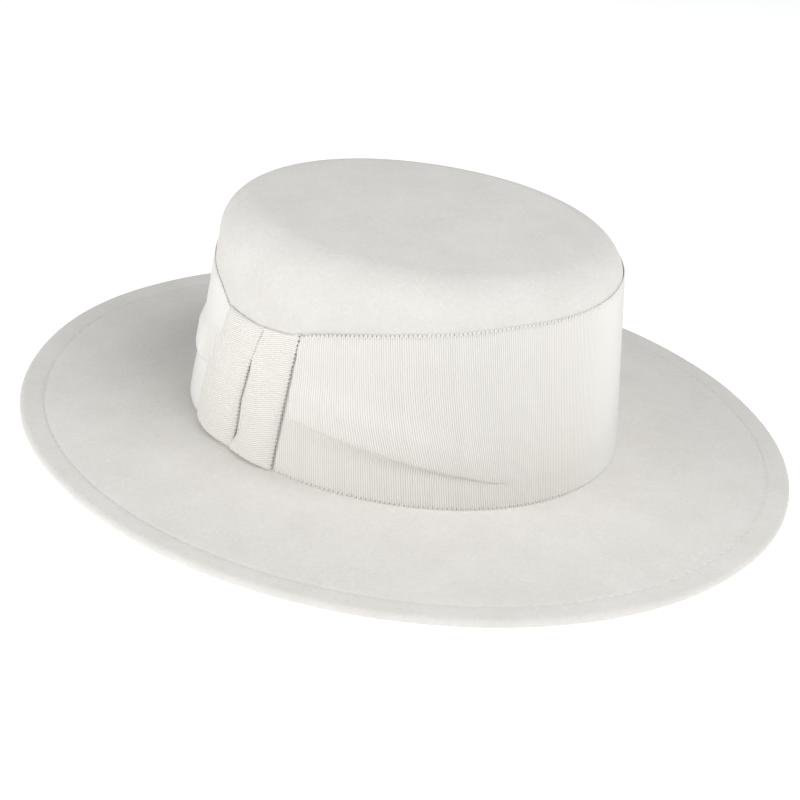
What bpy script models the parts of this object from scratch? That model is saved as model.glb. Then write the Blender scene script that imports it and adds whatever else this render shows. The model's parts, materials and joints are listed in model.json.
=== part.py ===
"""Wool felt hat: flat-topped crown, wide brim with a turned-under edge, gathered grosgrain band and flat knot.

Metres, +Z up. The hat stands on its brim with the origin under its middle. The wearer looks along -Y,
and +X is the wearer's left, the side that carries the knot. Angles run from +X towards +Y, in degrees.
"""

import math
from collections import namedtuple

import bmesh
import bpy
import numpy as np

# Head opening and felt
HEAD_HALF_LENGTH = 0.0967
HEAD_HALF_WIDTH = 0.0807
FELT = 0.0020

# Crown, measured from the top of the brim
CROWN_HEIGHT = 0.0998
CROWN_LEAN = 0.103
CROWN_RIM_RADIUS = 0.0177
CROWN_DOME = 0.0012
BREAK_RADIUS = 0.0015

# Brim, measured from the crown's outside to the edge
BRIM_FRONT = 0.0796
BRIM_SIDE = 0.0725
BRIM_DROP = 0.0039

# Outer edge of the brim, turned underneath and stitched
WELT_WIDTH = 0.0105
WELT_PUFF = 0.0003
SEAM_ALLOWANCE = 0.0015
STITCH_GROOVE_WIDTH = 0.0006
STITCH_GROOVE_DEPTH = 0.0003

# Ribbon: one flat width, gathered where the knot squeezes it
RIBBON_WIDTH = 0.0850
RIBBON = 0.0010
RIBBON_FOOT = 0.0009
FOLD_EDGE = 0.0014
GAP = 0.0003

# Flat knot wrapped over the band
KNOT_STAND = 0.0040
KNOT_RISE = 0.0009
KNOT_FOOT = 0.0016
KNOT_ROLL = 0.0014

# How finely round shapes are divided
FELT_SIDES = 72
BAND_SIDES = 120
STRIP_COLUMNS = 8

# The band round the crown: its upper edge, the height of its long fold, how far the fold stands out,
# and how high the swelling above the fold runs. All but the angle are shares of the ribbon's width.
BandRow = namedtuple("BandRow", "angle top fold stand swell")
BAND = (
    BandRow(angle=-180, top=0.990, fold=0.280, stand=0.000, swell=0.25),
    BandRow(angle=-120, top=0.965, fold=0.280, stand=0.000, swell=0.25),
    BandRow(angle=-97, top=0.890, fold=0.280, stand=0.008, swell=0.24),
    BandRow(angle=-84, top=0.840, fold=0.280, stand=0.018, swell=0.23),
    BandRow(angle=-74, top=0.812, fold=0.290, stand=0.026, swell=0.22),
    BandRow(angle=-66, top=0.790, fold=0.308, stand=0.036, swell=0.22),
    BandRow(angle=-60, top=0.775, fold=0.325, stand=0.047, swell=0.24),
    BandRow(angle=-57, top=0.768, fold=0.330, stand=0.046, swell=0.25),
    BandRow(angle=-54, top=0.756, fold=0.336, stand=0.020, swell=0.25),
    BandRow(angle=-51, top=0.735, fold=0.340, stand=0.000, swell=0.25),
    BandRow(angle=-46, top=0.692, fold=0.340, stand=0.000, swell=0.25),
    BandRow(angle=-33, top=0.690, fold=0.330, stand=0.000, swell=0.25),
    BandRow(angle=-21, top=0.718, fold=0.320, stand=0.000, swell=0.25),
    BandRow(angle=-18, top=0.737, fold=0.318, stand=0.000, swell=0.25),
    BandRow(angle=-15, top=0.770, fold=0.310, stand=0.034, swell=0.25),
    BandRow(angle=-9, top=0.805, fold=0.295, stand=0.043, swell=0.26),
    BandRow(angle=0, top=0.845, fold=0.270, stand=0.038, swell=0.27),
    BandRow(angle=10, top=0.882, fold=0.235, stand=0.030, swell=0.26),
    BandRow(angle=22, top=0.914, fold=0.190, stand=0.020, swell=0.24),
    BandRow(angle=34, top=0.943, fold=0.128, stand=0.010, swell=0.22),
    BandRow(angle=46, top=0.964, fold=0.120, stand=0.002, swell=0.22),
    BandRow(angle=62, top=0.972, fold=0.120, stand=0.000, swell=0.22),
    BandRow(angle=90, top=0.990, fold=0.180, stand=0.000, swell=0.25),
    BandRow(angle=120, top=1.000, fold=0.250, stand=0.000, swell=0.25),
    BandRow(angle=180, top=0.990, fold=0.280, stand=0.000, swell=0.25),
)

# The knot's two strips: at each share of the knot's height, the angles of both edges and how far the
# front edge, the middle and the rear edge stand off the band, as shares of KNOT_STAND.
StripRow = namedtuple("StripRow", "height front rear front_stand middle_stand rear_stand")
FRONT_STRIP = (
    StripRow(height=0.00, front=-55.2, rear=-35.5, front_stand=0.40, middle_stand=0.65, rear_stand=0.45),
    StripRow(height=0.17, front=-54.8, rear=-34.4, front_stand=0.45, middle_stand=0.85, rear_stand=0.50),
    StripRow(height=0.40, front=-53.2, rear=-34.2, front_stand=0.35, middle_stand=0.75, rear_stand=0.50),
    StripRow(height=0.68, front=-49.7, rear=-32.9, front_stand=0.25, middle_stand=0.55, rear_stand=0.45),
    StripRow(height=0.85, front=-47.8, rear=-31.8, front_stand=0.15, middle_stand=0.40, rear_stand=0.35),
    StripRow(height=1.00, front=-46.2, rear=-30.1, front_stand=0.10, middle_stand=0.25, rear_stand=0.25),
)
REAR_STRIP = (
    StripRow(height=0.00, front=-34.9, rear=-20.9, front_stand=0.45, middle_stand=0.60, rear_stand=0.45),
    StripRow(height=0.17, front=-33.4, rear=-20.6, front_stand=0.40, middle_stand=0.75, rear_stand=0.50),
    StripRow(height=0.37, front=-32.5, rear=-20.1, front_stand=0.30, middle_stand=0.65, rear_stand=0.50),
    StripRow(height=0.58, front=-32.3, rear=-19.5, front_stand=0.25, middle_stand=0.50, rear_stand=0.45),
    StripRow(height=0.80, front=-31.2, rear=-18.8, front_stand=0.20, middle_stand=0.35, rear_stand=0.35),
    StripRow(height=1.00, front=-29.6, rear=-17.8, front_stand=0.20, middle_stand=0.25, rear_stand=0.25),
)

# Sizes that follow from the ones above
OUTER_HALF_LENGTH = HEAD_HALF_LENGTH + FELT
OUTER_HALF_WIDTH = HEAD_HALF_WIDTH + FELT
BLOCK_RADIUS = (OUTER_HALF_LENGTH + OUTER_HALF_WIDTH) / 2
HEAD_SQUASH = (OUTER_HALF_LENGTH - OUTER_HALF_WIDTH) / 2
BRIM_WIDTH = (BRIM_FRONT + BRIM_SIDE) / 2
BRIM_SQUASH = (BRIM_FRONT - BRIM_SIDE) / 2
EDGE_RADIUS = BLOCK_RADIUS + BRIM_WIDTH
STITCH_RADIUS = EDGE_RADIUS - WELT_WIDTH
WELT_THICKNESS = 2 * FELT + WELT_PUFF
BREAK_HEIGHT = WELT_THICKNESS / 2 + BRIM_DROP
CROWN_TOP = BREAK_HEIGHT + CROWN_HEIGHT
LEAN = math.atan(CROWN_LEAN)
SLOPE = math.atan((BREAK_HEIGHT - 2 * FELT) / (STITCH_RADIUS - BLOCK_RADIUS))
BAND_OUTSIDE = GAP + RIBBON


def clear_objects():
    """Remove what the start-up file holds."""
    for old in list(bpy.data.objects):
        bpy.data.objects.remove(old, do_unlink=True)


def make_collection(name):
    """Collection for the finished parts."""
    collection = bpy.data.collections.new(name)
    bpy.context.scene.collection.children.link(collection)
    return collection


def make_material(name, colour, roughness):
    """Plain Principled material for one sub-part."""
    material = bpy.data.materials.new(name)
    material.use_nodes = True
    shader = material.node_tree.nodes["Principled BSDF"]
    shader.inputs["Base Color"].default_value = (*colour, 1.0)
    shader.inputs["Roughness"].default_value = roughness
    shader.inputs["Metallic"].default_value = 0.0
    return material


def add_part(name, mesh, material, collection):
    """Put a finished mesh into the parts collection, shaded smooth."""
    part = bpy.data.objects.new(name, mesh)
    collection.objects.link(part)
    mesh.materials.append(material)
    mesh.shade_smooth()
    mesh.set_sharp_from_angle(angle=math.radians(50))
    return part


def turn_profile(name, points, sides):
    """Turn (radius, height) points about +Z with a Screw modifier and return the turned mesh."""
    mesh = bpy.data.meshes.new(name)
    vertices = [(radius, 0.0, height) for radius, height in points]
    edges = [(index, index + 1) for index in range(len(points) - 1)]
    mesh.from_pydata(vertices, edges, [])
    line = bpy.data.objects.new(name, mesh)
    bpy.context.scene.collection.objects.link(line)
    screw = line.modifiers.new("turn", "SCREW")
    screw.steps = sides
    screw.render_steps = sides
    screw.use_merge_vertices = True
    screw.merge_threshold = 0.00005
    bpy.context.view_layer.update()
    turned = bpy.data.meshes.new_from_object(line.evaluated_get(bpy.context.evaluated_depsgraph_get()))
    bpy.data.objects.remove(line, do_unlink=True)
    return turned


def arc(centre, radius, start, end, steps):
    """Points on an arc in the profile plane, from one angle to another in radians."""
    angles = [start + (end - start) * step / steps for step in range(steps + 1)]
    return [(centre[0] + radius * math.cos(a), centre[1] + radius * math.sin(a)) for a in angles]


def rim_centre():
    """Centre of the rounding between the crown's flat top and its leaning side."""
    height = CROWN_TOP - CROWN_DOME - CROWN_RIM_RADIUS
    touch = height + CROWN_RIM_RADIUS * math.sin(LEAN)
    side = BLOCK_RADIUS - CROWN_LEAN * (touch - BREAK_HEIGHT)
    return side - CROWN_RIM_RADIUS * math.cos(LEAN), height


def break_centre():
    """Centre of the fillet between the crown's side and the brim's top, clear of both by its radius."""
    across = BREAK_RADIUS * (math.cos(SLOPE) - math.sin(LEAN)) / math.cos(LEAN + SLOPE)
    up = BREAK_RADIUS * (math.cos(LEAN) - math.sin(SLOPE)) / math.cos(LEAN + SLOPE)
    return BLOCK_RADIUS + across, BREAK_HEIGHT + up


def between(first, last, count):
    """Evenly spaced points strictly between two profile points."""
    shares = [step / (count + 1) for step in range(1, count + 1)]
    return [(first[0] + (last[0] - first[0]) * s, first[1] + (last[1] - first[1]) * s) for s in shares]


def crown_top_points(rim, top, drop):
    """Gently domed top from the middle out to the rim's rounding, left off at its last point."""
    shares = (0.0, 0.4, 0.75)
    return [(rim[0] * s, top - drop * s * s) for s in shares]


def felt_profile():
    """Section of the one-piece body: outside from the top down to the edge, then back along the inside."""
    rim = rim_centre()
    fillet = break_centre()
    flat = 3 * math.pi / 2 - SLOPE
    side = math.pi + LEAN
    edge_round = WELT_THICKNESS / 2
    raw_edge = STITCH_RADIUS - SEAM_ALLOWANCE

    def brim_top(radius):
        return BREAK_HEIGHT - math.tan(SLOPE) * (radius - BLOCK_RADIUS)

    outer_rim = arc(rim, CROWN_RIM_RADIUS, math.pi / 2, LEAN, 6)
    outer_break = arc(fillet, BREAK_RADIUS, side, flat, 3)
    groove_start = STITCH_RADIUS - STITCH_GROOVE_WIDTH
    groove = [
        (groove_start, brim_top(groove_start)),
        (STITCH_RADIUS, brim_top(STITCH_RADIUS) - STITCH_GROOVE_DEPTH),
        (STITCH_RADIUS + STITCH_GROOVE_WIDTH, 2 * FELT),
        (STITCH_RADIUS + WELT_WIDTH * 0.3, WELT_THICKNESS),
    ]
    edge = arc((EDGE_RADIUS - edge_round, edge_round), edge_round, math.pi / 2, -math.pi / 2, 6)
    raw_top = brim_top(raw_edge) - FELT / math.cos(SLOPE)
    under = [(raw_edge, 0.0), (raw_edge, raw_top)]
    inner_break = arc(fillet, BREAK_RADIUS + FELT, flat, side, 3)
    inner_rim = arc(rim, CROWN_RIM_RADIUS - FELT, LEAN, math.pi / 2, 5)

    points = crown_top_points(rim, CROWN_TOP, CROWN_DOME)
    points += outer_rim
    points += between(outer_rim[-1], outer_break[0], 3)
    points += outer_break
    points += between(outer_break[-1], groove[0], 3)
    points += groove
    points += edge
    points += under
    points += between(under[-1], inner_break[0], 2)
    points += inner_break
    points += between(inner_break[-1], inner_rim[0], 2)
    points += inner_rim
    points += reversed(crown_top_points(rim, CROWN_TOP - FELT, CROWN_DOME))
    return points


def press_oval(mesh):
    """Press a round felt body onto the oval block, and the brim to its longer front and back."""
    flat_top = rim_centre()[0]
    for vertex in mesh.vertices:
        radius = math.hypot(vertex.co.x, vertex.co.y)
        if radius < BREAK_RADIUS:
            continue
        brim_share = max(0.0, (radius - BLOCK_RADIUS) / BRIM_WIDTH)
        squash = HEAD_SQUASH * min(1.0, radius / flat_top) + BRIM_SQUASH * brim_share
        vertex.co.x *= (radius - squash) / radius
        vertex.co.y *= (radius + squash) / radius


def make_felt_body(material, collection):
    """Crown, brim and turned-under edge in one hollow piece of felt."""
    mesh = turn_profile("felt_body", felt_profile(), FELT_SIDES)
    press_oval(mesh)
    return add_part("felt_body", mesh, material, collection)


def off_crown(angle, height, stand):
    """Point off the crown's outer wall, at a height above the brim and an angle in degrees."""
    reach = stand - CROWN_LEAN * height
    turn = math.radians(angle)
    across = (OUTER_HALF_WIDTH + reach) * math.cos(turn)
    along = (OUTER_HALF_LENGTH + reach) * math.sin(turn)
    return across, along, BREAK_HEIGHT + height


def read_table(rows, key, column, at):
    """Value of a table's column between two of its rows."""
    keys = [getattr(row, key) for row in rows]
    values = [getattr(row, column) for row in rows]
    return float(np.interp(at, keys, values))


def band_top(angle):
    """Height of the ribbon's upper edge above the brim."""
    return RIBBON_FOOT + RIBBON_WIDTH * read_table(BAND, "angle", "top", angle)


def band_section(angle):
    """Section through the ribbon at one angle: (height, stand) from its foot up to its upper edge."""
    fold = RIBBON_WIDTH * read_table(BAND, "angle", "fold", angle)
    stand = RIBBON_WIDTH * read_table(BAND, "angle", "stand", angle)
    swell = RIBBON_WIDTH * read_table(BAND, "angle", "swell", angle)
    section = [(RIBBON_FOOT, 0.0), (RIBBON_FOOT + fold - 2 * FOLD_EDGE, 0.0), (RIBBON_FOOT + fold, 0.55 * stand)]
    for share in (0.12, 0.32, 0.55, 0.78, 1.0):
        height = RIBBON_FOOT + fold + swell * share
        section.append((height, stand * (1 - share) ** 2 * (1 + 2 * share)))
    section.append((band_top(angle), 0.0))
    return section


def make_ribbon_band(material, collection):
    """Grosgrain ribbon round the crown, its folds pressed out of a turned sheet."""
    rows = len(band_section(0.0))
    line = [(OUTER_HALF_LENGTH, rows - 1 - row) for row in range(rows)]
    mesh = turn_profile("ribbon_band", line, BAND_SIDES)
    for vertex in mesh.vertices:
        angle = math.degrees(math.atan2(vertex.co.y, vertex.co.x))
        height, stand = band_section(angle)[round(vertex.co.z)]
        vertex.co = off_crown(angle, height, GAP + stand)
    part = add_part("ribbon_band", mesh, material, collection)
    thicken(part, RIBBON)
    return part


def thicken(part, thickness):
    """Give a sheet its wall, outwards from the crown."""
    solidify = part.modifiers.new("wall", "SOLIDIFY")
    solidify.thickness = thickness
    solidify.offset = 1.0


def strip_point(rows, across, level):
    """Point of a knot strip: across from 0 at the front edge to 1 at the rear edge, level from 0 to 1."""
    front = read_table(rows, "height", "front", level)
    rear = read_table(rows, "height", "rear", level)
    angle = front + (rear - front) * across
    stands = [read_table(rows, "height", column, level) for column in StripRow._fields[3:]]
    stand = KNOT_STAND * float(np.interp(across, (0.0, 0.5, 1.0), stands))
    height = KNOT_FOOT + (band_top(angle) + KNOT_RISE - KNOT_FOOT) * level
    return angle, height, stand


def make_knot_strip(name, rows, material, collection):
    """One strip of the knot: rolled in at its foot, and turned over the band's upper edge."""
    levels = [0.0, 0.02, 0.06, 0.15, 0.28, 0.42, 0.56, 0.70, 0.84, 0.95, 1.0, 1.0]
    body = bmesh.new()
    bmesh.ops.create_grid(body, x_segments=STRIP_COLUMNS, y_segments=len(levels) - 1, size=0.5)
    for vertex in body.verts:
        across = vertex.co.x + 0.5
        row = round((vertex.co.y + 0.5) * (len(levels) - 1))
        angle, height, stand = strip_point(rows, across, levels[row])
        lift = BAND_OUTSIDE + GAP + stand
        if row == 0:
            lift = max(BAND_OUTSIDE + GAP, lift - KNOT_ROLL)
        if row == len(levels) - 1:
            lift = GAP
        vertex.co = off_crown(angle, height, lift)
    mesh = bpy.data.meshes.new(name)
    body.to_mesh(mesh)
    body.free()
    part = add_part(name, mesh, material, collection)
    thicken(part, RIBBON)
    return part


def build_hat():
    """Make every part of the hat."""
    clear_objects()
    parts = make_collection("wool_felt_hat")
    felt = make_material("wool_felt", (0.76, 0.73, 0.69), 0.95)
    band = make_material("grosgrain_band", (0.82, 0.80, 0.76), 0.70)
    knot = make_material("grosgrain_knot", (0.84, 0.82, 0.78), 0.70)
    make_felt_body(felt, parts)
    make_ribbon_band(band, parts)
    make_knot_strip("knot_front_strip", FRONT_STRIP, knot, parts)
    make_knot_strip("knot_rear_strip", REAR_STRIP, knot, parts)


build_hat()
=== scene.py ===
# %% [markdown]
# # A wool felt hat with a gathered grosgrain band
#
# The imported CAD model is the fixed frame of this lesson: it gives the hat's real size and place.
# Here each plain solid gets a finely modelled piece in its stead: the felt body with its stitched edge,
# the ribbed ribbon with its folds, and the two strips of the flat knot.
# All lengths are metres, +Z is up, the front of the hat is -Y, and +X is the side with the knot.

# %% Load the frame
import json
import math

import bmesh
import bpy
import numpy as np
from mathutils import Matrix, Vector, noise

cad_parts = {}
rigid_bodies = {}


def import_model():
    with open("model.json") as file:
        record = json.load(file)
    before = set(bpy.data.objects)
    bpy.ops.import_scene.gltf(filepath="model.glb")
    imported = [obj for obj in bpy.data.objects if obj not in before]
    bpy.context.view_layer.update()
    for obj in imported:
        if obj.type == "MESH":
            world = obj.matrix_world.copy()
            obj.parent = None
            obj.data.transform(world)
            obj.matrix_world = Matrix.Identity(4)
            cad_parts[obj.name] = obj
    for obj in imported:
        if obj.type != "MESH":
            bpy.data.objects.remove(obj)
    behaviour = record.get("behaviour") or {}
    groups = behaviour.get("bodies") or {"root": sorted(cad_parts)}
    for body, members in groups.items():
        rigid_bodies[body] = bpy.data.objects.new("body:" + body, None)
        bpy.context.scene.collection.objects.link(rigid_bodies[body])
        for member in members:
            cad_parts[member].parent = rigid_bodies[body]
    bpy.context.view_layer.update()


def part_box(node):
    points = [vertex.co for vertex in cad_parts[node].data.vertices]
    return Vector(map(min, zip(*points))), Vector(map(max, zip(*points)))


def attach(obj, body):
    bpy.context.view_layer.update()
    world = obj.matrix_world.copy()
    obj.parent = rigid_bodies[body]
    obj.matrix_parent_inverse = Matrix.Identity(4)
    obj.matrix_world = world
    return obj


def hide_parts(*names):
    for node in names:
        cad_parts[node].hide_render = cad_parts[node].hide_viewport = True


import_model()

# %% [markdown]
# ## Sizes
#
# The solids' own boxes give the driving sizes: how far the brim reaches, how high the crown stands and
# where the ribbon's foot is. A few sizes of the felt and the ribbon are named beside them, since a box
# can't tell how thick a wall is. Working from the frame keeps every piece where the CAD says.

# %% Sizes from the frame
felt_low, felt_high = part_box("felt_body")
band_low, band_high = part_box("ribbon_band")
EDGE_HALF_WIDTH = felt_high[0]
EDGE_HALF_LENGTH = felt_high[1]
CROWN_TOP = felt_high[2]

FELT = 0.0020
HALF_LENGTH = 0.0987
HALF_WIDTH = 0.0827
CROWN_LEAN = 0.103
RIM_RADIUS = 0.0177
CROWN_DOME = 0.0012
BREAK_RADIUS = 0.0015
WELT_WIDTH = 0.0105
WELT_THICKNESS = 0.0043
SEAM_ALLOWANCE = 0.0015
CROWN_HEIGHT = 0.0998

BRIM_TOP = CROWN_TOP - CROWN_HEIGHT
BLOCK_RADIUS = (HALF_LENGTH + HALF_WIDTH) / 2
HEAD_SQUASH = (HALF_LENGTH - HALF_WIDTH) / 2
EDGE_RADIUS = (EDGE_HALF_LENGTH + EDGE_HALF_WIDTH) / 2
BRIM_WIDTH = EDGE_RADIUS - BLOCK_RADIUS
BRIM_SQUASH = (EDGE_HALF_LENGTH - EDGE_HALF_WIDTH) / 2 - HEAD_SQUASH
STITCH_RADIUS = EDGE_RADIUS - WELT_WIDTH
BRIM_SLOPE = (BRIM_TOP - 2 * FELT) / (STITCH_RADIUS - BLOCK_RADIUS)

RIBBON_WIDTH = 0.0850
RIBBON_FOOT = band_low[2] - BRIM_TOP
RIBBON_INSIDE = 0.00015
CLOTH = 0.00055
GROOVE = 0.40
RIB_PITCH = 0.00090
print("brim top at the crown", round(BRIM_TOP * 1000, 2), "mm, ribbon foot", round(RIBBON_FOOT * 1000, 2), "mm above it")

# %% [markdown]
# ## Camera
#
# The photograph was taken from the knot's side, a little behind it and well above the brim, and the
# camera was turned a few degrees about its own line of sight. Building the camera's axes by hand from
# those three angles shows what they mean: back points from the hat to the lens, right and up span the picture.

# %% Camera
CAMERA_AZIMUTH = math.radians(104.36)
CAMERA_ELEVATION = math.radians(26.66)
CAMERA_ROLL = math.radians(6.05)
CAMERA_DISTANCE = 0.75874
CAMERA_LENS = 75.47
PICTURE_CENTRE = Vector((0.0, 0.0, BRIM_TOP + 0.040))
FRAME_SIZE = 800
OPTICAL_CENTRE = (411.7, 332.0)

back = Vector((
    math.sin(CAMERA_AZIMUTH) * math.cos(CAMERA_ELEVATION),
    -math.cos(CAMERA_AZIMUTH) * math.cos(CAMERA_ELEVATION),
    math.sin(CAMERA_ELEVATION),
))
right = Vector((math.cos(CAMERA_AZIMUTH), math.sin(CAMERA_AZIMUTH), 0.0))
up = back.cross(right)
camera_right = math.cos(CAMERA_ROLL) * right + math.sin(CAMERA_ROLL) * up
camera_up = math.cos(CAMERA_ROLL) * up - math.sin(CAMERA_ROLL) * right
turn = Matrix((camera_right, camera_up, back)).transposed()

lens = bpy.data.cameras.new("camera")
lens.lens = CAMERA_LENS
lens.sensor_width = 36.0
lens.shift_x = (FRAME_SIZE / 2 - OPTICAL_CENTRE[0]) / FRAME_SIZE
lens.shift_y = (OPTICAL_CENTRE[1] - FRAME_SIZE / 2) / FRAME_SIZE
lens.clip_start = 0.01
camera = bpy.data.objects.new("camera", lens)
bpy.context.collection.objects.link(camera)
camera.matrix_world = Matrix.Translation(PICTURE_CENTRE + CAMERA_DISTANCE * back) @ turn.to_4x4()
bpy.context.scene.camera = camera
print("camera at", [round(v, 3) for v in camera.location])

# %% [markdown]
# ## Floor and light
#
# The hat is shown on white, between two large soft lights: a low one to the viewer's left and a higher
# one to the right, with an even fill from all round. Large sources keep the shadows soft, so the felt's
# forms show only by slow changes of tone. The floor glows a little, as a lit white table does.

# %% Floor
bpy.ops.mesh.primitive_plane_add(size=6.0, location=(0.0, 0.0, -0.0002))
floor = bpy.context.object
floor.name = "floor"
floor_paint = bpy.data.materials.new("floor_paint")
floor_paint.use_nodes = True
floor_shader = floor_paint.node_tree.nodes["Principled BSDF"]
floor_shader.inputs["Base Color"].default_value = (0.93, 0.93, 0.93, 1.0)
floor_shader.inputs["Roughness"].default_value = 0.9
floor_shader.inputs["Specular IOR Level"].default_value = 0.1
floor_shader.inputs["Emission Color"].default_value = (1.0, 1.0, 1.0, 1.0)
floor_shader.inputs["Emission Strength"].default_value = 0.48
floor.data.materials.append(floor_paint)

# %% Lights
LEFT_WATTS = 8.6
RIGHT_WATTS = 11.9
WORLD_STRENGTH = 0.30


def soft_light(name, azimuth, elevation, distance, size, watts, colour=(1.0, 1.0, 1.0)):
    """Square area light that looks at the hat from an azimuth and elevation in degrees."""
    a, e = math.radians(azimuth), math.radians(elevation)
    away = Vector((math.sin(a) * math.cos(e), -math.cos(a) * math.cos(e), math.sin(e)))
    data = bpy.data.lights.new(name, "AREA")
    data.shape = "SQUARE"
    data.size = size
    data.energy = watts
    data.color = colour
    lamp = bpy.data.objects.new(name, data)
    bpy.context.collection.objects.link(lamp)
    lamp.location = PICTURE_CENTRE + away * distance
    lamp.rotation_mode = "QUATERNION"
    lamp.rotation_quaternion = away.to_track_quat("Z", "Y")


soft_light("left_light", azimuth=42, elevation=18, distance=1.4, size=0.9, watts=LEFT_WATTS)
soft_light("right_light", azimuth=162, elevation=53, distance=1.4, size=1.0, watts=RIGHT_WATTS)

world = bpy.data.worlds.new("studio")
world.use_nodes = True
world.node_tree.nodes["Background"].inputs["Color"].default_value = (0.97, 0.985, 1.0, 1.0)
world.node_tree.nodes["Background"].inputs["Strength"].default_value = WORLD_STRENGTH
bpy.context.scene.world = world
bpy.context.scene.view_settings.view_transform = "Standard"

# %% [markdown]
# ## Materials
#
# Felt is matted wool: no weave, only a short nap that scatters light at the edges (sheen) and a very
# fine unevenness of tone. Grosgrain is a ribbed ribbon: each rib is a thick cord wrapped by fine threads,
# so the fine threads follow the ribbon's own UV map, and the grooves between the ribs are painted darker
# and warmer than the crests: painted shade for the shadow that falls in them.

# %% Helpers for materials
def new_material(name, colour, roughness, sheen, sheen_roughness):
    """Principled material; returns it with its node tree and shader."""
    material = bpy.data.materials.new(name)
    material.use_nodes = True
    tree = material.node_tree
    shader = tree.nodes["Principled BSDF"]
    shader.inputs["Base Color"].default_value = (*colour, 1.0)
    shader.inputs["Roughness"].default_value = roughness
    shader.inputs["Specular IOR Level"].default_value = 0.2
    shader.inputs["Sheen Weight"].default_value = sheen
    shader.inputs["Sheen Roughness"].default_value = sheen_roughness
    return material, tree, shader


def add_noise(tree, coordinates, scale, detail, roughness=0.6):
    """Noise texture on given coordinates; returns its factor socket."""
    texture = tree.nodes.new("ShaderNodeTexNoise")
    texture.inputs["Scale"].default_value = scale
    texture.inputs["Detail"].default_value = detail
    texture.inputs["Roughness"].default_value = roughness
    tree.links.new(coordinates, texture.inputs["Vector"])
    return texture.outputs["Fac"]


def add_math(tree, operation, first, second):
    """Math node on sockets or plain numbers; returns its value socket."""
    node = tree.nodes.new("ShaderNodeMath")
    node.operation = operation
    for slot, value in enumerate((first, second)):
        if isinstance(value, (int, float)):
            node.inputs[slot].default_value = value
        else:
            tree.links.new(value, node.inputs[slot])
    return node.outputs["Value"]


def add_ramp(tree, factor, low, high, dark, light):
    """Colour between two tones as a factor goes from low to high."""
    ramp = tree.nodes.new("ShaderNodeValToRGB")
    ramp.color_ramp.elements[0].position = low
    ramp.color_ramp.elements[0].color = (*dark, 1.0)
    ramp.color_ramp.elements[1].position = high
    ramp.color_ramp.elements[1].color = (*light, 1.0)
    tree.links.new(factor, ramp.inputs["Fac"])
    return ramp.outputs["Color"]


def add_bump(tree, shader, height, strength, distance):
    """Bump node into the shader's normal."""
    bump = tree.nodes.new("ShaderNodeBump")
    bump.inputs["Strength"].default_value = strength
    bump.inputs["Distance"].default_value = distance
    tree.links.new(height, bump.inputs["Height"])
    tree.links.new(bump.outputs["Normal"], shader.inputs["Normal"])


# %% Felt
def make_felt():
    """Matted white wool: slow clouds, fine flecks and a short nap."""
    material, tree, shader = new_material("wool_felt", (0.80, 0.78, 0.745), 0.95, 0.15, 0.45)
    place = tree.nodes.new("ShaderNodeTexCoord").outputs["Object"]
    clouds = add_noise(tree, place, 45.0, 4.0)
    flecks = add_noise(tree, place, 620.0, 3.0)
    nap = add_noise(tree, place, 1900.0, 2.0)
    tone = add_math(tree, "ADD", add_math(tree, "MULTIPLY", clouds, 0.5), add_math(tree, "MULTIPLY", flecks, 0.5))
    colour = add_ramp(tree, tone, 0.35, 0.65, (0.765, 0.742, 0.705), (0.835, 0.815, 0.780))
    tree.links.new(colour, shader.inputs["Base Color"])
    height = add_math(tree, "ADD", add_math(tree, "MULTIPLY", flecks, 0.6), add_math(tree, "MULTIPLY", nap, 0.4))
    add_bump(tree, shader, height, 0.6, 0.0005)
    return material


felt_material = make_felt()


# %% Grosgrain
def make_grosgrain(name, ribs, threads, count_along="X"):
    """Ribbed ribbon: one axis of the UV map counts its ribs, the other the fine threads that wrap them."""
    material, tree, shader = new_material(name, (0.88, 0.87, 0.84), 0.62, 0.25, 0.4)
    split = tree.nodes.new("ShaderNodeSeparateXYZ")
    tree.links.new(tree.nodes.new("ShaderNodeUVMap").outputs["UV"], split.inputs["Vector"])
    along = add_math(tree, "MULTIPLY", split.outputs[count_along], 2 * math.pi * ribs)
    crest = add_math(tree, "MULTIPLY_ADD", add_math(tree, "COSINE", along, 0.0), 0.5)
    crest.node.inputs[2].default_value = 0.5
    other = "Y" if count_along == "X" else "X"
    across = add_math(tree, "MULTIPLY", split.outputs[other], 2 * math.pi * threads)
    shifted = add_math(tree, "ADD", across, add_math(tree, "MULTIPLY", along, 0.5))
    thread = add_math(tree, "SINE", shifted, 0.0)
    # Painted shade: the grooves between the ribs get a darker, warmer colour than the crests, standing in for the
    # shadow in them.
    colour = add_ramp(tree, crest, 0.0, 0.55, (0.73, 0.685, 0.62), (0.95, 0.935, 0.90))
    tree.links.new(colour, shader.inputs["Base Color"])
    add_bump(tree, shader, add_math(tree, "MULTIPLY", thread, crest), 0.25, 0.00006)
    return material


# %% [markdown]
# ## The felt body
#
# The real hat starts as one hood of felt, steamed and pulled over a wooden block: crown and brim are
# one wall, 2 mm thick. The outer edge of the brim is folded underneath and stitched, which makes the
# rim full and the underside stepped. Its section could be an outline with a Screw modifier; here a pen
# of bmesh operators draws it, with straight strokes made by extruding a vertex and arcs made by spinning
# one, so that each stroke reads as a move of the hat maker's curve. Spinning the drawn line about the
# upright axis makes a round hat, and the block's oval is pressed into it afterwards.

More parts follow.
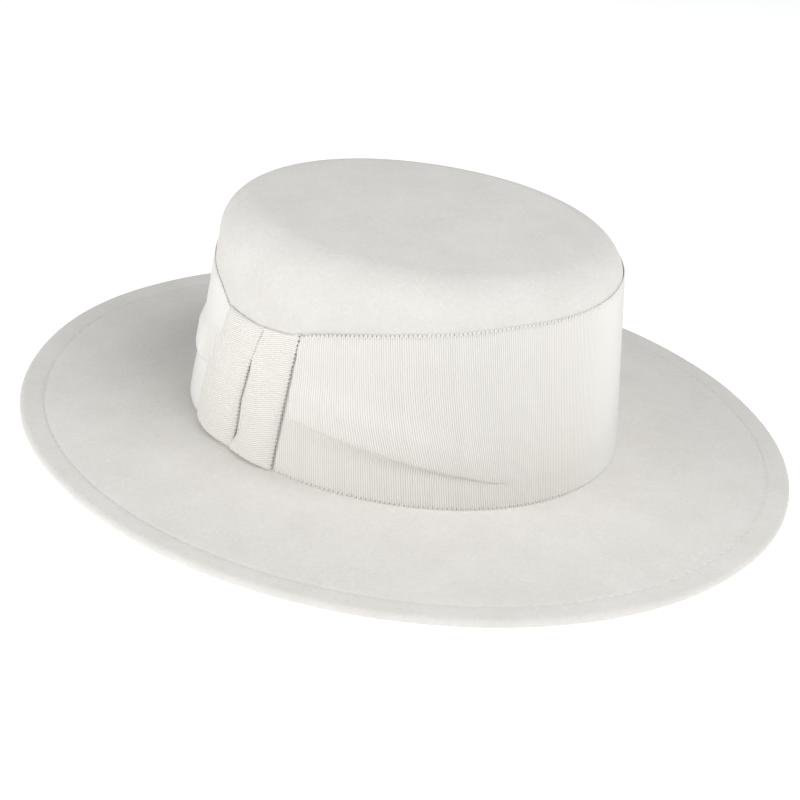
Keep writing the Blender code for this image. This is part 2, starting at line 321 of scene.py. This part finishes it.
# %% A pen that draws a section
class Pen:
    """Draws a section in the XZ plane with extrude and spin."""

    def __init__(self, start):
        self.body = bmesh.new()
        self.tip = self.body.verts.new((start[0], 0.0, start[1]))

    def line(self, end, steps=1):
        """Straight stroke to an end point."""
        stride = (Vector((end[0], 0.0, end[1])) - self.tip.co) / steps
        for _ in range(steps):
            made = bmesh.ops.extrude_vert_indiv(self.body, verts=[self.tip])
            self.tip = made["verts"][0]
            bmesh.ops.translate(self.body, verts=[self.tip], vec=stride)

    def arc(self, centre, degrees, steps):
        """Arc about a centre; positive angles turn from +X towards +Z."""
        made = bmesh.ops.spin(
            self.body, geom=[self.tip], cent=(centre[0], 0.0, centre[1]), axis=(0.0, -1.0, 0.0),
            angle=math.radians(degrees), steps=steps,
        )
        self.tip = next(item for item in made["geom_last"] if isinstance(item, bmesh.types.BMVert))

    def place(self):
        """Where the pen is, as (radius, height)."""
        return self.tip.co.x, self.tip.co.z


# %% The felt's section
def draw_felt_section():
    """Outside from the top of the crown to the edge, then back along the underside and the inside."""
    lean = math.atan(CROWN_LEAN)
    slope = math.atan(BRIM_SLOPE)
    rim_z = CROWN_TOP - CROWN_DOME - RIM_RADIUS
    rim_touch = rim_z + RIM_RADIUS * math.sin(lean)
    rim_r = BLOCK_RADIUS - CROWN_LEAN * (rim_touch - BRIM_TOP) - RIM_RADIUS * math.cos(lean)
    turn_cos = math.cos(lean + slope)
    break_r = BLOCK_RADIUS + BREAK_RADIUS * (math.cos(slope) - math.sin(lean)) / turn_cos
    break_z = BRIM_TOP + BREAK_RADIUS * (math.cos(lean) - math.sin(slope)) / turn_cos
    around = 90 - math.degrees(lean)
    corner = 90 - math.degrees(lean) - math.degrees(slope)

    pen = Pen((0.0, CROWN_TOP))
    for share in (0.15, 0.3, 0.45, 0.6, 0.75, 0.88, 1.0):
        pen.line((rim_r * share, CROWN_TOP - CROWN_DOME * share * share), 1)
    pen.arc((rim_r, rim_z), -around, 14)
    pen.line((break_r - BREAK_RADIUS * math.cos(lean), break_z - BREAK_RADIUS * math.sin(lean)), 16)
    pen.arc((break_r, break_z), corner, 5)
    groove = 0.0007
    pen.line((STITCH_RADIUS - 2 * groove, BRIM_TOP - BRIM_SLOPE * (STITCH_RADIUS - 2 * groove - BLOCK_RADIUS)), 18)
    pen.line((STITCH_RADIUS - 0.6 * groove, pen.place()[1] - 0.00018), 1)
    pen.line((STITCH_RADIUS, pen.place()[1] - 0.00045), 1)
    pen.line((STITCH_RADIUS + 0.7 * groove, 2 * FELT - 0.0001), 1)
    pen.line((STITCH_RADIUS + 2.2 * groove, WELT_THICKNESS - 0.00025), 1)
    pen.line((STITCH_RADIUS + 4.5 * groove, WELT_THICKNESS - 0.00004), 1)
    half = WELT_THICKNESS / 2
    pen.line((EDGE_RADIUS - half, WELT_THICKNESS), 4)
    pen.arc((EDGE_RADIUS - half, half), -180, 12)
    pen.line((STITCH_RADIUS + 2 * groove, 0.0), 4)
    pen.line((STITCH_RADIUS, 0.0004), 2)
    pen.line((STITCH_RADIUS - SEAM_ALLOWANCE + 0.0003, 0.0001), 2)
    pen.line((STITCH_RADIUS - SEAM_ALLOWANCE, FELT * 0.5), 2)
    raw = STITCH_RADIUS - SEAM_ALLOWANCE
    under = BRIM_TOP - BRIM_SLOPE * (raw - BLOCK_RADIUS) - FELT / math.cos(slope)
    pen.line((raw + 0.0002, under - 0.0001), 1)
    pen.line((raw - 0.0004, under), 1)
    flat = BREAK_RADIUS + FELT
    pen.line((break_r - flat * math.sin(slope), break_z - flat * math.cos(slope)), 16)
    pen.arc((break_r, break_z), -corner, 5)
    inner = RIM_RADIUS - FELT
    pen.line((rim_r + inner * math.cos(lean), rim_z + inner * math.sin(lean)), 14)
    pen.arc((rim_r, rim_z), around, 10)
    for share in (0.75, 0.5, 0.25, 0.0):
        pen.line((rim_r * share, CROWN_TOP - FELT - CROWN_DOME * share * share), 1)
    return pen.body


# %% [markdown]
# A hand-blocked hat is never quite true. Two slow noises, read round the hat, let the brim lie a few
# tenths of a millimetre uneven and soften the rim's line, which keeps the long highlights from looking turned
# on a lathe. Both fade out where the ribbon has to sit.

# %% Press and loosen
def press(radius):
    """How far the oval block takes a ring from round: added along Y and taken off along X."""
    brim = np.maximum(0.0, (radius - BLOCK_RADIUS) / BRIM_WIDTH)
    return HEAD_SQUASH * np.minimum(1.0, radius / (BLOCK_RADIUS * 0.7)) + BRIM_SQUASH * brim


def hand_made(x, y, z):
    """Small lift and reach of the felt at a point, in metres."""
    turn_noise = noise.noise(Vector((x * 9.0, y * 9.0, z * 6.0)))
    slow_noise = noise.noise(Vector((x * 22.0, y * 22.0, z * 22.0 + 5.0)))
    return 0.00035 * turn_noise + 0.00016 * slow_noise


def make_felt_body():
    """Spin the section into a round hat, press it oval and loosen its surface."""
    body = draw_felt_section()
    bmesh.ops.spin(
        body, geom=body.verts[:] + body.edges[:], cent=(0.0, 0.0, 0.0), axis=(0.0, 0.0, 1.0),
        angle=2 * math.pi, steps=288, use_merge=True,
    )
    bmesh.ops.remove_doubles(body, verts=body.verts[:], dist=0.000001)
    for vertex in body.verts:
        radius = math.hypot(vertex.co.x, vertex.co.y)
        if radius > 0.0001:
            squash = float(press(radius))
            vertex.co.x *= (radius - squash) / radius
            vertex.co.y *= (radius + squash) / radius
        loose = hand_made(vertex.co.x, vertex.co.y, vertex.co.z)
        brim = min(1.0, max(0.0, (radius - BLOCK_RADIUS) / BRIM_WIDTH))
        crown = min(1.0, max(0.0, (vertex.co.z - CROWN_TOP + RIM_RADIUS) / RIM_RADIUS))
        vertex.co.z += loose * (1.2 * brim + 0.8 * crown) if vertex.co.z > 0.001 else 0.0
        reach = 1.0 + loose * 1.2 * brim / max(radius, 0.01)
        vertex.co.x *= reach
        vertex.co.y *= reach
    bmesh.ops.recalc_face_normals(body, faces=body.faces[:])
    mesh = bpy.data.meshes.new("hat_felt")
    body.to_mesh(mesh)
    body.free()
    mesh.shade_smooth()
    felt = bpy.data.objects.new("hat_felt", mesh)
    bpy.context.collection.objects.link(felt)
    felt.data.materials.append(felt_material)
    return felt


hat_felt = make_felt_body()
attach(hat_felt, "root")
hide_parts("felt_body")
print("felt body:", len(hat_felt.data.polygons), "faces")

# %% [markdown]
# ## Stitches
#
# A row of small running stitches, sunk in a groove 10 mm from the edge, holds the fold of the brim.
# Each stitch is a tiny capsule; a loop sets them at equal steps along the oval, and a second row shows
# on the underside, in the gaps of the first, as a running stitch does.

# %% Equal steps round an oval
def oval_angles(half_width, half_length, count):
    """Angles that cut an oval into equal lengths."""
    fine = np.linspace(0.0, 2 * math.pi, 3601)
    x = half_width * np.cos(fine)
    y = half_length * np.sin(fine)
    along = np.concatenate([[0.0], np.cumsum(np.hypot(np.diff(x), np.diff(y)))])
    return np.interp(np.arange(count) / count * along[-1], along, fine), along[-1]


# %% Stitches
STITCH_PITCH = 0.0046
STITCH_LENGTH = 0.0031
THREAD = 0.00045


def make_stitches(material):
    """Two rows of running stitches, on top of the brim and under it."""
    half_width = STITCH_RADIUS - float(press(STITCH_RADIUS))
    half_length = STITCH_RADIUS + float(press(STITCH_RADIUS))
    length = oval_angles(half_width, half_length, 1)[1]
    count = round(length / STITCH_PITCH)
    angles = oval_angles(half_width, half_length, 2 * count)[0]
    body = bmesh.new()
    for index, angle in enumerate(angles):
        height = 0.00019 if index % 2 else 2 * FELT - 0.00052
        centre = Vector((half_width * math.cos(angle), half_length * math.sin(angle), height))
        if index % 2 == 0:
            centre.z += 1.2 * hand_made(*centre) * (STITCH_RADIUS - BLOCK_RADIUS) / BRIM_WIDTH
        along = Vector((-half_width * math.sin(angle), half_length * math.cos(angle), 0.0)).normalized()
        spread = Matrix.Diagonal((STITCH_LENGTH / 2, THREAD / 2, THREAD / 2, 1.0))
        heading = along.to_track_quat("X", "Z").to_matrix().to_4x4()
        bmesh.ops.create_uvsphere(
            body, u_segments=8, v_segments=6, radius=1.0,
            matrix=Matrix.Translation(centre) @ heading @ spread,
        )
    mesh = bpy.data.meshes.new("edge_stitches")
    body.to_mesh(mesh)
    body.free()
    mesh.shade_smooth()
    stitches = bpy.data.objects.new("edge_stitches", mesh)
    bpy.context.collection.objects.link(stitches)
    mesh.materials.append(material)
    print("stitches:", count, "on top, one each", round(length / count * 1000, 2), "mm")
    return stitches


thread_material = new_material("sewing_thread", (0.90, 0.89, 0.87), 0.5, 0.2, 0.4)[0]
edge_stitches = make_stitches(thread_material)
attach(edge_stitches, "root")

# %% [markdown]
# ## The ribbon
#
# The band is one 85 mm ribbon round the crown, squeezed to 60 mm where the knot holds it. The spare
# width goes into folds: a long tuck that runs back from the knot and dies out, and a puff in front of it.
# A grid is the right start, because cloth is a grid of threads: its columns are the ribs and its rows run
# along the ribbon. A function then lays each row on the crown's wall, and folds are only rows that turn back.

# %% The ribbon's table
# angle, then the upper edge, the fold's height, how far it stands out, its swelling, how far the whole
# upper layer stands out, and how far the foot does; all but the angle are shares of the ribbon's width
BAND_COLUMNS = ("angle", "top", "fold", "stand", "swell", "puff", "skirt")
BAND = (
    (-180, 0.990, 0.280, 0.000, 0.25, 0.000, 0.000),
    (-120, 0.965, 0.280, 0.000, 0.25, 0.000, 0.000),
    (-97, 0.890, 0.280, 0.008, 0.22, 0.000, 0.006),
    (-84, 0.840, 0.280, 0.016, 0.20, 0.000, 0.012),
    (-74, 0.812, 0.290, 0.023, 0.19, 0.000, 0.014),
    (-66, 0.790, 0.308, 0.027, 0.19, 0.000, 0.014),
    (-60, 0.775, 0.325, 0.034, 0.21, 0.001, 0.010),
    (-56, 0.765, 0.333, 0.034, 0.22, 0.001, 0.005),
    (-53, 0.750, 0.338, 0.018, 0.23, 0.001, 0.000),
    (-51, 0.735, 0.340, 0.000, 0.25, 0.000, 0.000),
    (-46, 0.692, 0.340, 0.000, 0.25, 0.000, 0.000),
    (-33, 0.690, 0.330, 0.000, 0.25, 0.000, 0.000),
    (-21, 0.718, 0.320, 0.000, 0.25, 0.000, 0.000),
    (-18.5, 0.735, 0.345, 0.000, 0.25, 0.000, 0.000),
    (-17.6, 0.748, 0.345, 0.000, 0.25, 0.000, 0.000),
    (-17.3, 0.750, 0.344, 0.014, 0.25, 0.026, 0.000),
    (-14, 0.776, 0.338, 0.024, 0.25, 0.024, 0.000),
    (-9, 0.805, 0.325, 0.029, 0.26, 0.017, 0.000),
    (0, 0.845, 0.298, 0.032, 0.27, 0.008, 0.000),
    (10, 0.882, 0.262, 0.029, 0.26, 0.003, 0.000),
    (22, 0.914, 0.216, 0.021, 0.24, 0.000, 0.000),
    (30, 0.934, 0.178, 0.014, 0.23, 0.000, 0.000),
    (36, 0.947, 0.140, 0.007, 0.22, 0.000, 0.000),
    (42, 0.958, 0.125, 0.001, 0.22, 0.000, 0.000),
    (62, 0.972, 0.120, 0.000, 0.22, 0.000, 0.000),
    (90, 0.990, 0.180, 0.000, 0.25, 0.000, 0.000),
    (120, 1.000, 0.250, 0.000, 0.25, 0.000, 0.000),
    (180, 0.990, 0.280, 0.000, 0.25, 0.000, 0.000),
)

# %% Reading the table smoothly
FINE_ANGLES = np.arange(-180.0, 180.0, 0.1)


def smooth_column(name, soft):
    """A column sampled every tenth of a degree and softened over a few degrees, so that no row shows as a kink."""
    rows = np.array(BAND)
    values = np.interp(FINE_ANGLES, rows[:, 0], rows[:, BAND_COLUMNS.index(name)])
    reach = int(soft * 10)
    weights = np.hanning(2 * reach + 3)[1:-1]
    wrapped = np.concatenate([values[-reach:], values, values[:reach]])
    return np.convolve(wrapped, weights / weights.sum(), mode="valid") * RIBBON_WIDTH


BAND_CURVES = {
    "top": smooth_column("top", 3.0),
    "fold": smooth_column("fold", 5.0),
    "stand": smooth_column("stand", 0.6),
    "swell": smooth_column("swell", 5.0),
    "puff": smooth_column("puff", 0.2),
    "skirt": smooth_column("skirt", 3.0),
}


def band_value(name, angle):
    """A column's length at an angle or an array of angles, in metres."""
    return np.interp((angle + 180.0) % 360.0 - 180.0, FINE_ANGLES, BAND_CURVES[name], period=360.0)


def wall_points(angle, height, out):
    """Points off the crown's leaning wall at angles in degrees and heights above the brim."""
    reach = out - CROWN_LEAN * height
    turn = np.radians(angle)
    x = (HALF_WIDTH + reach) * np.cos(turn)
    y = (HALF_LENGTH + reach) * np.sin(turn)
    return np.stack([x, y, BRIM_TOP + height], axis=-1)


# %% [markdown]
# Each row of the grid has a part to play in the ribbon's section, from the lower scalloped edge, up the
# lower layer, into the pocket of the tuck, back down to its lip, and up the swelling to the upper edge.
# Where the fold dies out the same rows lie flat, one above the other.

# %% The ribbon's section
EDGE_STEPS = (0.0, 0.00035, 0.0009, 0.0018)
LOWER_ROWS = 2
POCKET = (  # share of the pocket's depth above the fold, share of the fold's stand, height when flat
    (-0.10, 0.03, -0.28),
    (0.65, 0.10, -0.20),
    (1.00, 0.28, -0.12),
    (0.75, 0.46, -0.06),
    (0.25, 0.60, 0.00),
)
LIP = (  # metres above the fold, share of the fold's stand
    (-0.0007, 0.74),
    (-0.0007, 0.90),
    (0.0000, 1.00),
    (0.0010, 1.05),
    (0.0025, 1.04),
)
SWELL = (0.30, 0.52, 0.76, 1.0)
UPPER_ROWS = 2
POCKET_DEPTH = 0.0035
FLAT_STEP = 0.010
POCKET_START = len(EDGE_STEPS) + LOWER_ROWS
LIP_START = POCKET_START + len(POCKET)
SWELL_START = LIP_START + len(LIP)
UPPER_START = SWELL_START + len(SWELL)
BAND_ROWS = UPPER_START + UPPER_ROWS + len(EDGE_STEPS)


def band_section(row, angle):
    """Height above the brim and distance off the wall of a row of the ribbon, for an array of angles."""
    fold = RIBBON_FOOT + band_value("fold", angle)
    stand = band_value("stand", angle)
    puff = band_value("puff", angle)
    skirt = band_value("skirt", angle)
    top = RIBBON_FOOT + band_value("top", angle)
    folded = np.clip(stand / 0.0016, 0.0, 1.0)
    if row < len(EDGE_STEPS):
        return RIBBON_FOOT + EDGE_STEPS[row] + 0 * angle, skirt
    if row < POCKET_START:
        low = RIBBON_FOOT + EDGE_STEPS[-1]
        pocket_foot = fold - FLAT_STEP * 0.3 * (1 - folded) - POCKET_DEPTH * 0.3 * folded
        share = (row - len(EDGE_STEPS) + 1) / (LOWER_ROWS + 1)
        return low + (pocket_foot - low) * share, skirt * (1 - share * share)
    if row < LIP_START:
        rise, out, flat = POCKET[row - POCKET_START]
        height = fold + POCKET_DEPTH * rise * folded + FLAT_STEP * flat * (1 - folded)
        return height, (stand + puff) * out * folded
    if row < SWELL_START:
        rise, out = LIP[row - LIP_START]
        flat = FLAT_STEP * 0.08 * (row - LIP_START + 1)
        return fold + rise * folded + flat * (1 - folded), (stand + puff) * out
    swell_top = fold + band_value("swell", angle)
    if row < UPPER_START:
        share = SWELL[row - SWELL_START]
        start = np.where(angle < -40.0, 0.5, 0.25)
        fall = np.clip((share - start) / (1 - start), 0.0, 1.0)
        height = fold + 0.004 + (swell_top - fold - 0.004) * share
        return height, puff + stand * (1 - fall) ** 2 * (1 + 2 * fall)
    if row < UPPER_START + UPPER_ROWS:
        share = (row - UPPER_START + 1) / (UPPER_ROWS + 1)
        return swell_top + (top - EDGE_STEPS[-1] - swell_top) * share, puff * (1 - 0.4 * share)
    below_top = BAND_ROWS - 1 - row
    return top - EDGE_STEPS[below_top], puff * (0.35 + 0.05 * below_top)


# %% [markdown]
# The ribs lean: pulled into the knot, the ribbon's upper edge runs a few degrees ahead of its foot.
# The lean is strongest just above the tuck. Each rib takes three columns, one on the crest and two in
# the groove, which is the least that gives a round rib. Two ribs end in one loop of the scalloped edge.

# %% Ribs, lean and scallops
SCALLOP = 0.0013
DRAG_SLOPE = 0.17
DRAG_TOP = 0.055
DRAG_FULL = 0.035
DRAG_ANGLES = (-18.0, 0.0, 18.0, 40.0)
SCALLOP_SHAPE = np.array([0.72, 1.0, 1.0, 0.72, 0.05, 0.05])
LOOP_CORD = np.array([1.0, 0.9, 0.9, 1.0, 0.5, 0.5])
LOOP_HOLLOW = np.array([1.0, 0.2, 0.2, 1.0, 0.3, 0.3])
LEAN_ANGLES = (-180.0, -90.0, -60.0, -20.0, 0.0, 40.0, 65.0, 100.0, 180.0)
LEAN_DEGREES = (0.0, 0.0, 2.0, 7.0, 7.0, 7.0, 4.0, 0.0, 0.0)
MM_PER_DEGREE = 0.00161


def count_ribs():
    """Whole number of rib pairs round the crown at half the ribbon's height."""
    middle = CROWN_LEAN * RIBBON_WIDTH / 2
    reach = RIBBON_INSIDE + CLOTH - middle
    around = oval_angles(HALF_WIDTH + reach, HALF_LENGTH + reach, 1)[1]
    return 2 * round(around / RIB_PITCH / 2), around


BAND_RIBS, BAND_LENGTH = count_ribs()
print("ribbon band:", BAND_RIBS, "ribs in", round(BAND_LENGTH * 1000), "mm")


def drag(row, height, angle):
    """How far the tuck drags the ribs of the upper layer along: the lean grows from DRAG_TOP down to DRAG_FULL."""
    into_layer = min(1.0, max(0.0, (row - POCKET_START + 1) / len(POCKET)))
    span = DRAG_TOP - DRAG_FULL
    curved = np.clip(DRAG_TOP - height, 0.0, span) ** 2 / (2 * span)
    straight = np.maximum(0.0, DRAG_FULL - height)
    return DRAG_SLOPE * (curved + straight) * into_layer * np.interp(angle, DRAG_ANGLES, (0.0, 1.0, 1.0, 0.0))


def place_band(column, row):
    """Where the grid's points go: arrays of columns and rows to an array of places."""
    base = column * 360.0 / (3 * BAND_RIBS) - 180.0
    lean = np.tan(np.radians(np.interp(base, LEAN_ANGLES, LEAN_DEGREES)))
    places = np.zeros((len(column), 3))
    for number in range(BAND_ROWS):
        chosen = row == number
        start = base[chosen]
        height, out = band_section(number, start)
        shift = lean[chosen] * (RIBBON_WIDTH / 2 - height) + drag(number, height, start)
        angle = start + shift / MM_PER_DEGREE
        height, out = band_section(number, angle)
        loop = SCALLOP * (SCALLOP_SHAPE[column[chosen].astype(int) % 6] - 0.5)
        reach = (1.0, 0.4)[min(number, BAND_ROWS - 1 - number)] if number in (0, 1, BAND_ROWS - 2, BAND_ROWS - 1) else 0.0
        height = height + (loop if number > 1 else -loop) * reach
        places[chosen] = wall_points(angle, height, RIBBON_INSIDE + out)
    return places


def band_thickness(column, row, lengthwise):
    """Share of the cloth's full thickness at each point: full on a rib's crest, thin in the groove."""
    random = np.random.default_rng(7)
    rib_size = random.uniform(0.86, 1.0, BAND_RIBS + 1)[(column // 3) % BAND_RIBS]
    share = np.where(column % 3 == 0, rib_size, GROOVE)
    edge = np.minimum(row, BAND_ROWS - 1 - row)
    share = np.where(edge == 0, 0.6 * LOOP_CORD[column % 6], share)
    share = np.where(edge == 1, LOOP_CORD[column % 6], share)
    return np.where(edge == 2, LOOP_HOLLOW[column % 6], share)


# %% Making a cloth grid
def group_by_share(shares):
    """Indices of the points that have the same share, to the nearest hundredth."""
    rounded = np.round(np.array(shares), 2)
    for share in np.unique(rounded):
        yield float(share), np.flatnonzero(rounded == share).tolist()


def make_cloth(name, columns, rows, place, thickness, material, closed=False, slide=None, cut=None):
    """Grid of cloth with its UV map: one function lays its back in place, another gives its thickness.

    slide moves the flat grid's points along the ribbon, so that the ribs slant, and cut then trims the
    two ends straight; the place function gets the columns and rows where the points are after that.
    """
    body = bmesh.new()
    body.loops.layers.uv.new("cloth")
    bmesh.ops.create_grid(body, x_segments=columns, y_segments=rows, size=0.5, calc_uvs=True)
    layer = body.verts.layers.float.new("share")
    flat = np.array([vertex.co[:2] for vertex in body.verts]) + 0.5
    column = np.rint(flat[:, 0] * columns)
    row = np.rint(flat[:, 1] * rows)
    lengthwise = row if slide is None else row + slide(column, row)
    shares = thickness(column.astype(int), row.astype(int), lengthwise)
    for vertex, share, x, y in zip(body.verts, shares, column, lengthwise):
        vertex[layer] = share
        vertex.co = (x, y, 0.0)
    if cut is not None:
        for height, side in ((cut[0], -1.0), (cut[1], 1.0)):
            parts = body.verts[:] + body.edges[:] + body.faces[:]
            bmesh.ops.bisect_plane(
                body, geom=parts, plane_co=(0.0, height, 0.0), plane_no=(0.0, side, 0.0), clear_outer=True,
            )
    flat = np.array([vertex.co[:2] for vertex in body.verts])
    for vertex, spot in zip(body.verts, place(flat[:, 0], flat[:, 1])):
        vertex.co = spot
    if closed:
        bmesh.ops.remove_doubles(body, verts=body.verts[:], dist=0.000002)
    shares = [vertex[layer] for vertex in body.verts]
    mesh = bpy.data.meshes.new(name)
    body.to_mesh(mesh)
    body.free()
    mesh.shade_smooth()
    mesh.materials.append(material)
    cloth = bpy.data.objects.new(name, mesh)
    bpy.context.collection.objects.link(cloth)
    ribs = cloth.vertex_groups.new(name="ribs")
    for share, indices in group_by_share(shares):
        ribs.add(indices, share, "REPLACE")
    wall = cloth.modifiers.new("wall", "SOLIDIFY")
    wall.thickness = CLOTH
    wall.offset = 1.0
    wall.vertex_group = "ribs"
    return cloth


band_material = make_grosgrain("grosgrain_band", BAND_RIBS, RIBBON_WIDTH / 0.0004)
ribbon_band = make_cloth(
    "band", 3 * BAND_RIBS, BAND_ROWS - 1, place_band, band_thickness, band_material, closed=True,
)
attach(ribbon_band, "root")
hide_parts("ribbon_band")

# %% [markdown]
# ## The flat knot
#
# Two strips of the same ribbon are wrapped over the band, from behind its upper edge to under its foot.
# Their ribs run across, rising a little towards the back. One long edge of each strip is a soft fold,
# the other the ribbon's scalloped edge. The front strip lies over the rear one at the top, and under
# its corner at the foot, which leaves a lens-shaped gap between them.

# %% The strips' tables
# share of the knot's height, angles of the front and rear edges, stand of the front edge, middle and rear edge
STRIP_COLUMNS = ("level", "front", "rear", "front_stand", "middle_stand", "rear_stand")
FRONT_STRIP = (
    (0.00, -55.2, -35.2, 0.0012, 0.0032, 0.0002),
    (0.17, -54.8, -34.8, 0.0014, 0.0034, 0.0001),
    (0.40, -53.2, -34.9, 0.0012, 0.0030, 0.0001),
    (0.68, -49.7, -33.3, 0.0009, 0.0022, 0.0003),
    (0.85, -47.8, -31.6, 0.0006, 0.0016, 0.0006),
    (1.00, -46.2, -29.9, 0.0004, 0.0010, 0.0008),
)
REAR_STRIP = (
    (0.00, -35.9, -20.9, 0.0016, 0.0024, 0.0004),
    (0.07, -34.4, -20.8, 0.0012, 0.0028, 0.0004),
    (0.17, -33.0, -20.6, 0.0007, 0.0029, 0.0004),
    (0.37, -32.2, -20.1, 0.0004, 0.0025, 0.0004),
    (0.58, -32.7, -19.5, 0.0003, 0.0018, 0.0004),
    (0.80, -33.0, -18.8, 0.0002, 0.0011, 0.0004),
    (1.00, -32.0, -17.8, 0.0000, 0.0006, 0.0004),
)
KNOT_FOOT = 0.0008
KNOT_BACK = 0.0007
KNOT_RISE = 0.0009
FOLD_RADIUS = 0.0016
ROWS_PER_RIB = 6
STRIP_SLANT = {"knot_front": (18.0, 8.0), "knot_rear": (19.0, 17.0)}


def strip_value(table, column, level):
    """A column of a strip's table at an array of levels."""
    rows = np.array(table)
    return np.interp(level, rows[:, 0], rows[:, STRIP_COLUMNS.index(column)])


# %% Laying a strip
def strip_slider(name, width, columns, ribs):
    """Function that slants a strip's ribs: how many rows a point slides up, from the middle of the strip out."""
    low_slant, high_slant = STRIP_SLANT[name]

    def slide(column, row):
        slant = np.interp(row / (ribs * ROWS_PER_RIB), (0.35, 1.0), (low_slant, high_slant))
        return np.tan(np.radians(slant)) * width * (column / columns - 0.5) / RIB_PITCH * ROWS_PER_RIB

    return slide


def strip_placer(table, columns, length, slide):
    """Function that lays one strip's flat grid over the band; its rows are counted from the strip's foot."""
    bend = FOLD_RADIUS * math.pi / 2

    def place(column, row):
        across = column / columns
        path = row / ROWS_PER_RIB * RIB_PITCH
        foot_turn = np.clip(path / bend - 1.0, -1.0, 0.0) * math.pi / 2
        head_turn = np.clip((path - length + bend) / bend, 0.0, 1.0) * math.pi / 2
        level = np.clip((path - bend) / (length - 2 * bend), 0.0, 1.0)
        front = strip_value(table, "front", level)
        rear = strip_value(table, "rear", level)
        angle = front + (rear - front) * across
        stands = [strip_value(table, key, level) for key in STRIP_COLUMNS[3:]]
        weight = np.sin(np.clip(across, 0.0, 1.0) * math.pi) ** 0.8
        stand = stands[0] * (1 - across) + stands[2] * across
        stand = stand + (stands[1] - stand) * weight
        top = RIBBON_FOOT + band_value("top", angle) + KNOT_RISE
        height = KNOT_FOOT + FOLD_RADIUS + (top - KNOT_FOOT - 2 * FOLD_RADIUS) * level
        height = height + FOLD_RADIUS * (np.sin(foot_turn) + np.sin(head_turn))
        sunk = 0.0003
        out = sunk + (KNOT_BACK + stand - sunk) * np.cos(foot_turn) * np.cos(head_turn)
        rolled = np.clip(1.0 - across * columns / 2.5, 0.0, 1.0)
        out = out - 0.0009 * rolled ** 2
        selvage = SCALLOP * (loop_shape(row - slide(column, row)) - 0.5) / MM_PER_DEGREE
        angle = angle + np.where(column > columns - 0.5, selvage, 0.0)
        return wall_points(angle, height, out)

    return place


def loop_shape(row):
    """How far a selvage loop reaches at a row, from 0 between two loops to 1 at its crown."""
    return np.abs(np.sin(row / (2 * ROWS_PER_RIB) * math.pi)) ** 0.6


def strip_thickness(columns, length):
    """Function for a strip's thickness: ribs across it, loops at its last column, smooth where it turns under."""
    last_row = length / RIB_PITCH * ROWS_PER_RIB

    def thickness(column, row, lengthwise):
        crest = 0.5 + 0.5 * np.cos(row / ROWS_PER_RIB * 2 * math.pi)
        turned = np.clip(np.minimum(lengthwise, last_row - lengthwise) / (2 * ROWS_PER_RIB) - 0.2, 0.0, 1.0)
        share = GROOVE + (1.0 - GROOVE) * (0.55 + (crest ** 0.8 - 0.55) * turned)
        inside = np.where(column == columns - 2, 0.25 + 0.75 * crest, share)
        return np.where(column >= columns - 1, 0.55 + 0.4 * loop_shape(row), inside)

    return thickness


def make_strip(name, node, table, columns):
    """One strip of the knot, ribs across it."""
    middle = 0.5 * (table[0][1] + table[0][2])
    length = RIBBON_FOOT + float(band_value("top", middle)) + KNOT_RISE - KNOT_FOOT + FOLD_RADIUS
    spare = 5
    ribs = math.ceil(length / RIB_PITCH) + 2 * spare
    width = (table[2][2] - table[2][1]) * MM_PER_DEGREE
    material = make_grosgrain(f"grosgrain_{name}", ribs, width / 0.0004, count_along="Y")
    slant = strip_slider(name, width, columns, ribs)

    def slide(column, row):
        return slant(column, row) - spare * ROWS_PER_RIB

    place = strip_placer(table, columns, length, slant)
    strip = make_cloth(
        name, columns, ribs * ROWS_PER_RIB, place, strip_thickness(columns, length), material,
        slide=slide, cut=(0.0, length / RIB_PITCH * ROWS_PER_RIB),
    )
    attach(strip, "root")
    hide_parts(node)
    print(name, ribs, "ribs,", round(width * 1000), "x", round(length * 1000), "mm")
    return strip


knot_front = make_strip("knot_front", "knot_front_strip", FRONT_STRIP, 30)
knot_rear = make_strip("knot_rear", "knot_rear_strip", REAR_STRIP, 26)
